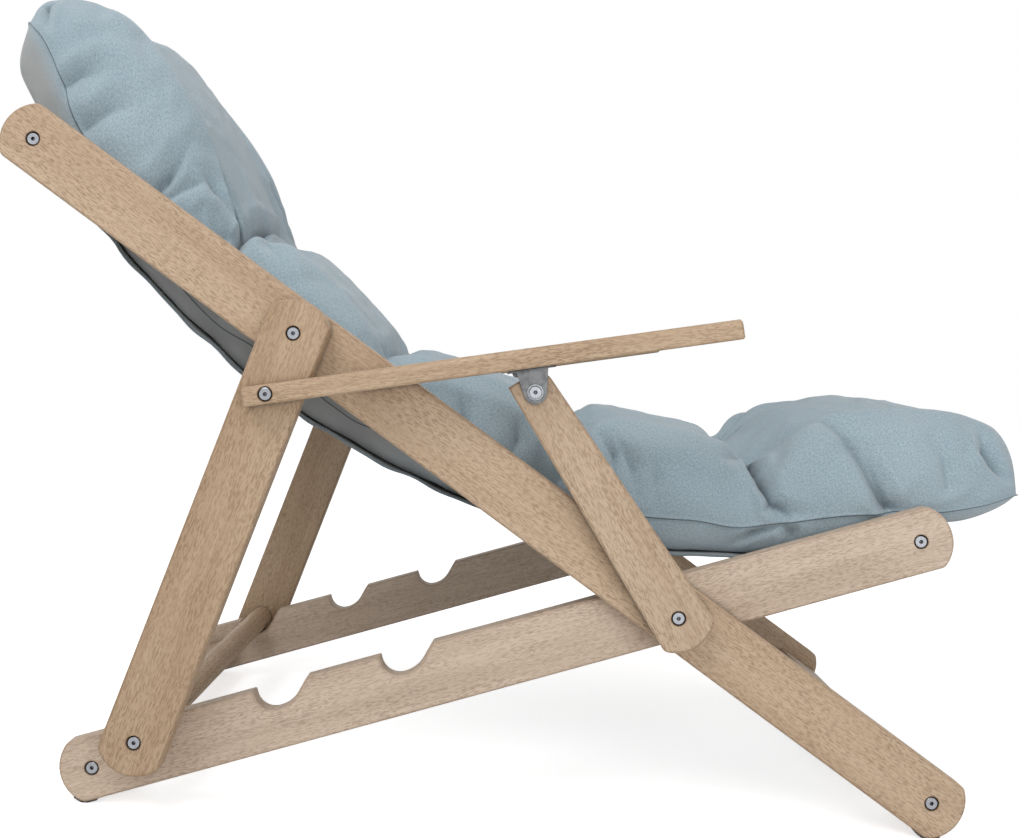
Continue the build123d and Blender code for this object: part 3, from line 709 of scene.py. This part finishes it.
# Cushion: one cover over five tufted sections, drawn between the two round bars
# Stations from head to toe, in thousandths: underside along and up, top along and up in the
# middle column, share of the full width, shares of the height at the tufts and at the seam, how
# far the corners are drawn in, and 1000 where a row of tufts is sewn
STATIONS = np.array([
    (-128, 113, -128, 115, 920, 990, 500, 42, 0),
    (-121, 84, -123, 138, 950, 970, 540, 40, 0),
    (-106, 62, -112, 154, 970, 950, 520, 34, 0),
    (-72, 40, -84, 169, 990, 930, 480, 20, 0),
    (-22, 6, -42, 177, 1000, 910, 380, 8, 0),
    (20, -30, 6, 176, 1000, 900, 300, 0, 0),
    (100, -78, 96, 126, 1000, 890, 270, 0, 0),
    (176, -120, 174, 54, 985, 860, 270, 0, 0),
    (238, -140, 213, 16, 950, 820, 270, 0, 1000),
    (284, -150, 264, 23, 985, 900, 270, 0, 0),
    (330, -158, 318, 6, 1000, 930, 270, 0, 0),
    (372, -163, 368, -17, 985, 900, 270, 0, 0),
    (412, -166, 412, -42, 950, 840, 270, 0, 1000),
    (455, -168, 450, -26, 985, 900, 280, 0, 0),
    (525, -170, 522, -18, 1000, 930, 300, 0, 0),
    (592, -168, 586, -16, 985, 900, 310, 0, 0),
    (636, -164, 632, -26, 950, 840, 320, 0, 1000),
    (676, -157, 664, -2, 985, 900, 300, 0, 0),
    (730, -144, 720, 12, 1000, 930, 290, 0, 0),
    (788, -128, 778, 22, 985, 900, 330, 0, 0),
    (834, -112, 826, 16, 950, 820, 360, 0, 1000),
    (872, -92, 866, 86, 985, 890, 280, 0, 0),
    (928, -60, 928, 129, 1000, 920, 280, 0, 0),
    (985, 6, 984, 148, 1000, 930, 130, 0, 0),
    (1022, 20, 1022, 156, 1000, 940, 120, -6, 0),
    (1056, 36, 1058, 156, 990, 950, 160, -10, 0),
    (1084, 58, 1084, 138, 980, 960, 200, -14, 0),
    (1100, 76, 1098, 114, 970, 970, 280, -16, 0),
    (1107, 88, 1105, 92, 960, 990, 500, -16, 0),
]) / 1000
TUFT_COLUMN = 0.46
SIDE_GAP = 0.006


def even_rows(count):
    """Stations read at even steps along the middle of the cushion, and its length."""
    reach = distances((STATIONS[:, :2] + STATIONS[:, 2:4]) / 2)
    return smooth_curve(STATIONS, reach, np.linspace(0, reach[-1], count)), reach[-1] * SPAN


def half_section(tufts, seam, count):
    """Top and underside of half a cross-section from the middle to the seam, in shares."""
    top = [
        (0, 1), (0.24, 0.25 * tufts + 0.75), (TUFT_COLUMN, tufts), (0.62, 0.45 + 0.5 * tufts),
        (0.78, 0.93), (0.90, 0.81), (0.966, 0.62), (1, 0.5 * seam + 0.30), (1, seam),
    ]
    under = [(0, 0), (0.4, 0), (0.76, 0.0), (0.90, 0.10 * seam), (0.975, 0.45 * seam), (1, seam)]
    found = []
    for knots in (top, under):
        past_middle = (-knots[1][0], knots[1][1])
        whole = np.array([past_middle] + knots)
        reach = distances(whole * (1, 0.7))
        found.append(smooth_curve(whole, reach, np.linspace(reach[1], reach[-1], count)))
    return found


def cushion_points(rows, columns):
    """Points of the top and underside panels, each rows by columns."""
    half = columns // 2
    half_width = rail_inside - SIDE_GAP
    panels = np.zeros((2, len(rows), columns, 3))
    for i, row in enumerate(rows):
        low_along, low_up, high_along, high_up, width, tufts, seam, drawn_in, _ = row
        low = np.array(span_place(low_along, low_up))
        high = np.array(span_place(high_along, high_up))
        for panel, shares in enumerate(half_section(tufts, seam, half + 1)):
            for k, (out, height) in enumerate(shares):
                place = low + (high - low) * height
                place = place + np.array(ALONG) * SPAN * drawn_in * out**3
                side = np.array((0, out * half_width * width, 0))
                panels[panel, i, half + k] = place + side
                panels[panel, i, half - k] = place - side
    return panels


def rest_on_sling(points):
    """Lift points that would lie in the sling or in a sleeve round a bar."""
    from_head = points - np.array(head_bar)
    along = from_head @ np.array(ALONG) / SPAN
    up = from_head @ np.array(UP) / SPAN
    thickness = bpy.context.scene.lounge_sling.thickness + 0.001
    lowest = sling_line(along) + thickness / SPAN
    flap = (np.minimum(along, 1 - along) < SLEEVE_SEAM) & (along > 0) & (along < 1)
    lowest = np.where(flap, np.maximum(lowest, flap_line(along, thickness)), lowest)
    inside = (along > 0) & (along < 1)
    up = np.where(inside, np.maximum(up, lowest), up)
    for bar in (0, 1):
        away = np.hypot(along - bar, up)
        room = (bar_radius + thickness + 0.001) / SPAN
        push = np.where(away < room, room / np.maximum(away, 1e-6), 1)
        along, up = bar + (along - bar) * push, up * push
    moved = np.array(head_bar) + np.outer(along, ALONG) * SPAN + np.outer(up, UP) * SPAN
    moved[:, 1] = np.clip(points[:, 1], -rail_inside + 0.0015, rail_inside - 0.0015)
    return moved


def cushion_mesh(settings):
    """The cover as one closed mesh: top and underside panels that share the seam."""
    columns = settings.columns // 2 * 2 + 1
    rows, length = even_rows(settings.rows)
    top, under = cushion_points(rows, columns)
    count = len(rows)
    numbers = np.arange(count * columns).reshape(count, columns)
    under_numbers = numbers.copy()
    inner = (count - 2) * (columns - 2)
    under_numbers[1:-1, 1:-1] = count * columns + np.arange(inner).reshape(count - 2, columns - 2)
    points = np.concatenate([top.reshape(-1, 3), under[1:-1, 1:-1].reshape(-1, 3)])
    points = rest_on_sling(points)
    faces = quads(numbers, flipped=True) + quads(under_numbers)
    mesh = bpy.data.meshes.new("cushion")
    mesh.from_pydata(points.tolist(), [], faces)
    width = 2 * rail_inside
    places = np.zeros((len(points), 2))
    for grid in (numbers, under_numbers):
        places[grid, 0] = np.arange(count)[:, None] / count * length
        places[grid, 1] = np.arange(columns)[None, :] / columns * width
    write_uv(mesh, places)
    sewn = np.zeros(len(points), bool)
    sewn[outer_edge(numbers)] = True
    write_mark(mesh, "seam", sewn)
    along = np.zeros(len(points))
    round_it = np.zeros(len(points))
    half = columns // 2
    out = np.abs(np.arange(columns) - half) / half
    for grid, turned in ((under_numbers, True), (numbers, False)):
        along[grid] = (np.arange(count) / (count - 1))[:, None]
        round_it[grid] = (2 - out if turned else out)[None, :]
    write_mark(mesh, "along", along)
    write_mark(mesh, "round", round_it)
    return mesh, rows, numbers, under_numbers


def tuft_rows(rows):
    """Numbers of the rows in which tufts are sewn."""
    sewn = rows[:, 8]
    inner = range(1, len(sewn) - 1)
    return [i for i in inner if sewn[i] > 0.5 and sewn[i - 1] < sewn[i] >= sewn[i + 1]]


def fill_with_fibre(piece, rows, numbers, under_numbers, settings):
    """Blow the cover up with cloth simulation, held at the tufts and where it lies."""
    half = numbers.shape[1] // 2
    held = piece.vertex_groups.new(name="held")
    held.add(list(range(len(piece.data.vertices))), settings.hold, "REPLACE")
    shares = half_section(0.84, 0.3, half + 1)[0][:, 0]
    out = int(np.argmin(np.abs(shares - TUFT_COLUMN)))
    tufts = numbers[np.ix_(tuft_rows(rows), [half - out, half + out])]
    held.add([int(n) for n in tufts.ravel()], 1.0, "REPLACE")
    lying = int(half * 0.62)
    resting = under_numbers[6:-6, half - lying:half + lying + 1]
    held.add([int(n) for n in resting.ravel()], 1.0, "REPLACE")
    gathered = piece.vertex_groups.new(name="gathered")
    gathered.add([int(n) for n in np.unique(outer_edge(numbers))], 1.0, "REPLACE")
    before = np.array([v.co for v in piece.data.vertices])
    cloth = piece.modifiers.new("filling", "CLOTH").settings
    cloth.quality = 7
    cloth.mass = 0.25
    cloth.tension_stiffness = 15
    cloth.compression_stiffness = 15
    cloth.shear_stiffness = 6
    cloth.bending_stiffness = 0.25
    cloth.use_pressure = True
    cloth.uniform_pressure_force = settings.pressure
    cloth.vertex_group_mass = "held"
    cloth.pin_stiffness = settings.hold_stiffness
    cloth.vertex_group_shrink = "gathered"
    cloth.shrink_min = -settings.spare_cloth
    cloth.shrink_max = settings.seam_gather
    cloth.effector_weights.gravity = 0
    scene = bpy.context.scene
    for number in range(1, settings.steps + 1):
        scene.frame_set(number)
    blown = piece.evaluated_get(bpy.context.evaluated_depsgraph_get()).to_mesh()
    after = np.array([v.co for v in blown.vertices])
    piece.modifiers.clear()
    scene.frame_set(1)
    moved = after - before
    far = np.linalg.norm(moved, axis=1)[:, None]
    moved *= np.minimum(1, settings.swell_cap / np.maximum(far, 1e-9))
    # The seam, the underside and the two ends give less than the top
    along = read_mark(piece.data, "along")
    part = np.interp(read_mark(piece.data, "round"), (0, 0.75, 1.0, 1.3), (0.75, 0.75, 0.35, 0.15))
    part *= np.interp(np.minimum(along, 1 - along), (0, 0.08), (0.35, 1))
    moved *= part[:, None]
    points = rest_on_sling(before + moved)
    piece.data.vertices.foreach_set("co", points.ravel())
    piece.data.update()


def with_modifiers(piece):
    """Give the piece the mesh that its modifiers make, and take them off."""
    shaped = piece.evaluated_get(bpy.context.evaluated_depsgraph_get())
    mesh = bpy.data.meshes.new_from_object(shaped)
    piece.modifiers.clear()
    piece.data = mesh


# Creases of the cover, the same on its left and right side. Each point gives, in thousandths, the
# share of the way from head to toe, the way round from the middle of the top over the seam (1000)
# to the middle of the underside (2000), and the depth and half width of the crease in metres
CREASES = [np.array(line) / 1000 for line in (
    [(277, 0, 12, 8), (274, 120, 22, 9), (276, 280, 38, 11), (284, 480, 32, 11),
     (293, 600, 18, 9), (294, 720, 14, 8), (297, 950, 8, 7)],
    [(439, 0, 14, 10), (437, 250, 20, 10), (439, 400, 28, 13), (437, 550, 12, 9),
     (438, 720, 10, 8), (441, 900, 8, 8)],
    [(606, 0, 10, 10), (606, 400, 26, 13), (608, 550, 10, 9), (610, 720, 10, 8), (612, 900, 8, 8)],
    [(758, 0, 4, 9), (758, 260, 10, 9), (757, 400, 18, 11), (756, 500, 10, 8), (756, 600, 8, 7),
     (757, 690, 14, 7), (768, 790, 15, 7), (781, 890, 13, 6), (798, 990, 6, 6)],
    [(140, 460, 0, 10), (190, 440, 8, 11), (240, 420, 20, 12), (300, 400, 36, 16),
     (345, 400, 12, 12), (370, 400, 7, 11), (400, 400, 12, 11), (439, 400, 28, 14),
     (480, 400, 12, 11), (522, 400, 6, 11), (570, 400, 12, 11), (606, 400, 26, 14),
     (650, 400, 13, 12), (690, 400, 9, 11), (725, 400, 14, 11), (758, 400, 18, 12),
     (795, 400, 15, 10), (830, 420, 8, 10), (870, 440, 0, 10)],
    [(757, 600, 3, 5), (757, 660, 26, 7), (759, 700, 22, 6), (764, 750, 17, 5), (770, 810, 16, 5),
     (781, 890, 13, 5), (796, 970, 6, 5)],
    [(296, 520, 18, 7), (296, 600, 22, 7), (294, 660, 16, 6), (294, 740, 8, 5)],
    [(192, 530, 1, 5), (212, 550, 9, 5), (245, 580, 14, 5), (272, 610, 17, 5), (292, 640, 16, 6)],
    [(206, 740, 6, 10), (204, 830, 15, 10), (198, 950, 8, 10)],
    [(238, 680, 1, 8), (224, 760, 11, 9), (210, 880, 8, 9)],
    [(222, 710, 6, 8), (246, 670, 12, 8), (282, 630, 4, 8)],
    [(262, 800, 1, 8), (276, 740, 8, 8), (292, 680, 4, 8)],
    [(117, 980, 8, 9), (133, 880, 9, 10), (152, 790, 1, 10)],
    [(80, 990, 8, 8), (94, 900, 10, 10), (114, 810, 1, 10)],
    [(318, 620, 10, 8), (340, 720, 5, 9), (366, 800, 0, 9)],
    [(310, 480, 12, 8), (328, 530, 6, 8), (356, 570, 0, 8)],
    [(448, 480, 11, 8), (468, 560, 6, 8), (494, 620, 0, 8)],
    [(470, 760, 2, 10), (484, 860, 11, 10), (496, 960, 4, 10)],
    [(508, 740, 3, 11), (520, 840, 13, 11), (534, 950, 6, 11)],
    [(556, 740, 1, 10), (564, 840, 11, 10), (564, 960, 4, 10)],
    [(626, 700, 3, 7), (646, 790, 14, 7), (652, 900, 4, 8)],
    [(644, 720, 3, 7), (662, 820, 14, 7), (670, 920, 4, 8)],
    [(674, 760, 1, 8), (682, 850, 9, 8), (686, 940, 2, 8)],
    [(744, 460, 12, 7), (726, 540, 7, 8), (704, 600, 0, 8)],
    [(744, 620, 10, 7), (730, 700, 4, 8), (716, 760, 0, 8)],
    [(772, 480, 13, 7), (790, 520, 10, 8), (812, 620, 8, 9), (834, 750, 9, 9), (862, 880, 11, 8),
     (888, 980, 16, 7)],
    [(836, 730, 2, 8), (858, 830, 11, 7), (878, 930, 16, 7), (895, 1000, 10, 6)],
    [(782, 920, 12, 6), (798, 950, 12, 6), (820, 975, 2, 6)],
    [(758, 1090, 1, 7), (776, 1040, 13, 6), (800, 1010, 6, 6)],
    [(800, 1010, 4, 6), (814, 1050, 10, 6), (820, 1110, 2, 7)],
    [(902, 700, 0, 10), (918, 780, 9, 9), (934, 890, 7, 9)],
    [(948, 640, 4, 7), (954, 720, 16, 7), (966, 780, 15, 7), (980, 840, 4, 7)],
    [(30, 680, 4, 9), (22, 790, 14, 8), (34, 920, 6, 8)],
)]
# Lines of deep shade, given in the same way with a darkness for the depth
SHADED = [np.array(line) / 1000 for line in (
    [(279, 60, 500, 4), (277, 140, 900, 5), (276, 280, 1000, 6), (280, 360, 900, 6),
     (287, 460, 700, 5)],
    [(206, 545, 250, 2.8), (245, 580, 550, 3), (272, 610, 750, 3.4), (292, 640, 950, 4.5),
     (296, 700, 600, 3.4)],
    [(760, 420, 750, 7), (757, 560, 850, 5.5), (757, 660, 1000, 6.5), (761, 730, 950, 3.6),
     (772, 820, 850, 3.2), (783, 910, 750, 3), (806, 970, 350, 2.8)],
    [(770, 400, 700, 6), (800, 410, 450, 3.4), (840, 430, 200, 3)],
    [(812, 620, 150, 4), (834, 750, 350, 4), (862, 880, 450, 4), (887, 980, 800, 4)],
    [(204, 800, 200, 4), (201, 860, 350, 4), (198, 950, 250, 4)],
    [(790, 520, 100, 5), (776, 490, 400, 5), (762, 460, 700, 5)],
    [(441, 420, 500, 6), (438, 550, 400, 4), (440, 800, 200, 3)],
    [(606, 420, 500, 6), (609, 550, 400, 4), (611, 800, 200, 3)],
)]
# Depth and half width of the dimples in each row of tufts
TUFT_DIMPLES = [(0.034, 0.012), (0.034, 0.012), (0.034, 0.012), (0.022, 0.009)]
CREASE_SHARPNESS = 0.78
SEAM_DEPTH = 0.0022
# From the middle of a panel to the seam, in metres
PANEL_REACH = 0.33


def beside_line(line, spots, length):
    """Each spot's distance from a line in its half widths, and the line's depth there."""
    size = (length, PANEL_REACH)
    nearest = np.full(len(spots), 9.0)
    depth = np.zeros(len(spots))
    knots = [(np.array(knot[:2]) * size, knot[2], knot[3]) for knot in line]
    for (start, first_depth, first_width), (end, last_depth, last_width) in zip(knots, knots[1:]):
        way = end - start
        share = np.clip((spots - start) @ way / (way @ way), 0, 1)
        away = np.linalg.norm(spots - start - share[:, None] * way, axis=1)
        away /= first_width + share * (last_width - first_width)
        closer = away < nearest
        nearest = np.where(closer, away, nearest)
        depth = np.where(closer, first_depth + share * (last_depth - first_depth), depth)
    return nearest, depth


def sew_cover(piece, rows):
    """Smooth the cover, fold its creases in, draw in the tufts and the seam, and mark where shade
    is painted in the creases and on the underside.
    """
    smooth = piece.modifiers.new("smooth", "SUBSURF")
    smooth.levels = 2
    with_modifiers(piece)
    mesh = piece.data
    length = even_rows(len(rows))[1]
    along, round_it = read_mark(mesh, "along"), read_mark(mesh, "round")
    spots = np.stack([along * length, round_it * PANEL_REACH], axis=1)
    tufts = []
    for number, dimple in zip(tuft_rows(rows), TUFT_DIMPLES, strict=True):
        row = number / (len(rows) - 1)
        tufts.append([(row, 0.36, *dimple), (row, 0.37, *dimple)])
    together = np.zeros(len(spots))
    lifted = np.zeros(len(spots))
    for crease in CREASES + tufts:
        away, crease_depth = beside_line(crease, spots, length)
        away /= CREASE_SHARPNESS
        folded = crease_depth * (np.exp(-away**1.1) - 0.16 * np.exp(-((away - 2.8) ** 2)))
        together += np.maximum(folded, 0) ** 3
        lifted += np.minimum(folded, 0)
    depth = np.cbrt(together) + np.maximum(lifted, -0.004)
    seam = read_mark(mesh, "seam")
    normals = np.array([v.normal for v in mesh.vertices])
    points = np.array([v.co for v in mesh.vertices])
    lean = np.clip((round_it - 0.35) / 0.65, 0, 2) * math.pi / 2
    outward = np.cos(lean)[:, None] * np.array(UP)
    outward[:, 1] = np.sin(lean) * np.sign(points[:, 1])
    points -= outward * depth[:, None] + normals * np.where(seam > 0.99, SEAM_DEPTH, 0)[:, None]
    mesh.vertices.foreach_set("co", points.ravel())
    # Painted shade for the canvas: darker where the creases are deep, and along the lines of
    # SHADED
    shade = np.clip((depth - 0.005) / 0.017, 0, 1) ** 1.3
    for line in SHADED:
        away, darkness = beside_line(line, spots, length)
        shade = np.maximum(shade, darkness * np.exp(-away**1.6))
    write_mark(mesh, "shade", shade)
    # Painted shade for the canvas: a greyer shadow tone on the underside, mostly from the head to
    # the seat
    first = np.interp(along, (0.10, 0.20, 0.46, 0.56), (1.02, 0.88, 0.88, 1.02))
    under = np.clip((round_it - first) / 0.08, 0, 1)
    write_mark(mesh, "under", under * np.interp(along, (0.46, 0.58), (1.0, 0.25)))
    mesh.update()
    settled = piece.modifiers.new("settled", "SMOOTH")
    settled.factor = 0.5
    settled.iterations = 1
    with_modifiers(piece)
    mesh = piece.data
    points = np.array([v.co for v in mesh.vertices])
    mesh.vertices.foreach_set("co", rest_on_sling(points).ravel())
    mesh.polygons.foreach_set("use_smooth", [True] * len(mesh.polygons))
    mesh.update()


class LOUNGE_OT_cushion(bpy.types.Operator):
    """Make the tufted cushion as one cover that runs across the main hinge"""

    bl_idname = "lounge.cushion"
    bl_label = "Add the cushion"

    def execute(self, context):
        settings = context.scene.lounge_cushion
        mesh, rows, numbers, under_numbers = cushion_mesh(settings)
        piece = bpy.data.objects.new("cushion_cover", mesh)
        context.scene.collection.objects.link(piece)
        fill_with_fibre(piece, rows, numbers, under_numbers, settings)
        sew_cover(piece, rows)
        marks = ["seam", "shade", "under"]
        wear(piece, canvas_material("Cushion canvas", context.scene.lounge_canvas, 1.0, marks))
        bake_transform(piece)
        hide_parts(*SOFT[:5])
        return {"FINISHED"}


# Studio
# The pixel that the lens points at, which is not the middle of the picture
LENS_CENTRE = (505, 376)
FLOOR_REACH = 12.0
# Light that the floor adds where the camera sees it, so that it is white but for the shadow
FLOOR_GLOW = 0.66


def area_light(name, place, target, size, power):
    data = bpy.data.lights.new(name, "AREA")
    data.shape = "DISK"
    data.size = size
    data.energy = power
    lamp = bpy.data.objects.new(name, data)
    bpy.context.scene.collection.objects.link(lamp)
    lamp.location = place
    lamp.rotation_mode = "QUATERNION"
    lamp.rotation_quaternion = (Vector(target) - Vector(place)).to_track_quat("-Z", "Y")


class LOUNGE_OT_studio(bpy.types.Operator):
    """Set up the pale floor, the soft lights and the camera"""

    bl_idname = "lounge.studio"
    bl_label = "Set up the studio"

    def execute(self, context):
        settings = context.scene.lounge_studio
        scene = context.scene
        scene.view_settings.view_transform = "Standard"

        mesh = bpy.data.meshes.new("floor")
        far = FLOOR_REACH
        corners = [(-far, -far, 0), (far, -far, 0), (far, far, 0), (-far, far, 0)]
        mesh.from_pydata(corners, [], [(0, 1, 2, 3)])
        floor = bpy.data.objects.new("floor", mesh)
        scene.collection.objects.link(floor)
        material, tree, shader = new_material("Pale floor")
        shader.inputs["Base Color"].default_value = (0.9, 0.9, 0.9, 1)
        shader.inputs["Roughness"].default_value = 0.9
        shader.inputs["Specular IOR Level"].default_value = 0.1
        path = add(tree, "LightPath").outputs
        shader.inputs["Emission Color"].default_value = (1, 1, 1, 1)
        glow = times(tree, path["Is Camera Ray"], FLOOR_GLOW)
        tree.links.new(glow, shader.inputs["Emission Strength"])
        wear(floor, material)

        world = bpy.data.worlds.new("Studio")
        world.use_nodes = True
        tree = world.node_tree
        tree.nodes.clear()
        path = add(tree, "LightPath").outputs
        seen = maths(tree, "MAXIMUM", path["Is Camera Ray"], path["Is Glossy Ray"])
        strength = ranged(tree, seen, 0.0, 1.0, settings.room_light, 1.0)
        sky = add(tree, "Background", {"Color": (1, 1, 1, 1), "Strength": strength})
        output = add(tree, "OutputWorld")
        tree.links.new(sky.outputs[0], output.inputs[0])
        scene.world = world

        seat = (0.1, 0, 0.4)
        area_light("key", (-0.9, -1.3, 2.6), seat, 2.2, settings.key_power)
        area_light("fill", (0.9, -2.6, 1.1), seat, 1.8, settings.fill_power)

        data = bpy.data.cameras.new("camera")
        data.sensor_width = 36
        data.lens = 36 * settings.focal_share
        data.shift_x = (PICTURE[0] / 2 - LENS_CENTRE[0]) / PICTURE[0]
        data.shift_y = -(PICTURE[1] / 2 - LENS_CENTRE[1]) / PICTURE[0]
        data.clip_start = 0.05
        camera = bpy.data.objects.new("camera", data)
        scene.collection.objects.link(camera)
        level = Matrix.Rotation(math.pi / 2, 4, "X")
        roll = Matrix.Rotation(settings.camera_roll, 4, "Z")
        camera.matrix_world = Matrix.Translation(settings.camera_place) @ level @ roll
        scene.camera = camera
        return {"FINISHED"}


class LOUNGE_PT_panel(bpy.types.Panel):
    """The chair's pieces, in the order that they are made"""

    bl_idname = "LOUNGE_PT_panel"
    bl_label = "Folding lounge chair"
    bl_space_type = "VIEW_3D"
    bl_region_type = "UI"
    bl_category = "Lounge"

    def draw(self, context):
        for maker in MAKERS:
            self.layout.operator(maker.bl_idname)


SETTINGS = {
    "lounge_beech": BeechFinish,
    "lounge_canvas": CanvasFinish,
    "lounge_cushion": CushionShape,
    "lounge_sling": SlingShape,
    "lounge_studio": StudioSettings,
}
MAKERS = [
    LOUNGE_OT_studio, LOUNGE_OT_beech, LOUNGE_OT_hardware, LOUNGE_OT_sling, LOUNGE_OT_cushion,
]


def register():
    for name, group in SETTINGS.items():
        bpy.utils.register_class(group)
        setattr(bpy.types.Scene, name, bpy.props.PointerProperty(type=group))
    for maker in MAKERS:
        bpy.utils.register_class(maker)
    bpy.utils.register_class(LOUNGE_PT_panel)


def unregister():
    bpy.utils.unregister_class(LOUNGE_PT_panel)
    for maker in reversed(MAKERS):
        bpy.utils.unregister_class(maker)
    for name, group in reversed(SETTINGS.items()):
        delattr(bpy.types.Scene, name)
        bpy.utils.unregister_class(group)


def main():
    register()
    bpy.ops.lounge.studio()
    bpy.ops.lounge.beech()
    bpy.ops.lounge.hardware()
    bpy.ops.lounge.sling()
    bpy.ops.lounge.cushion()


if __name__ == "__main__":
    main()
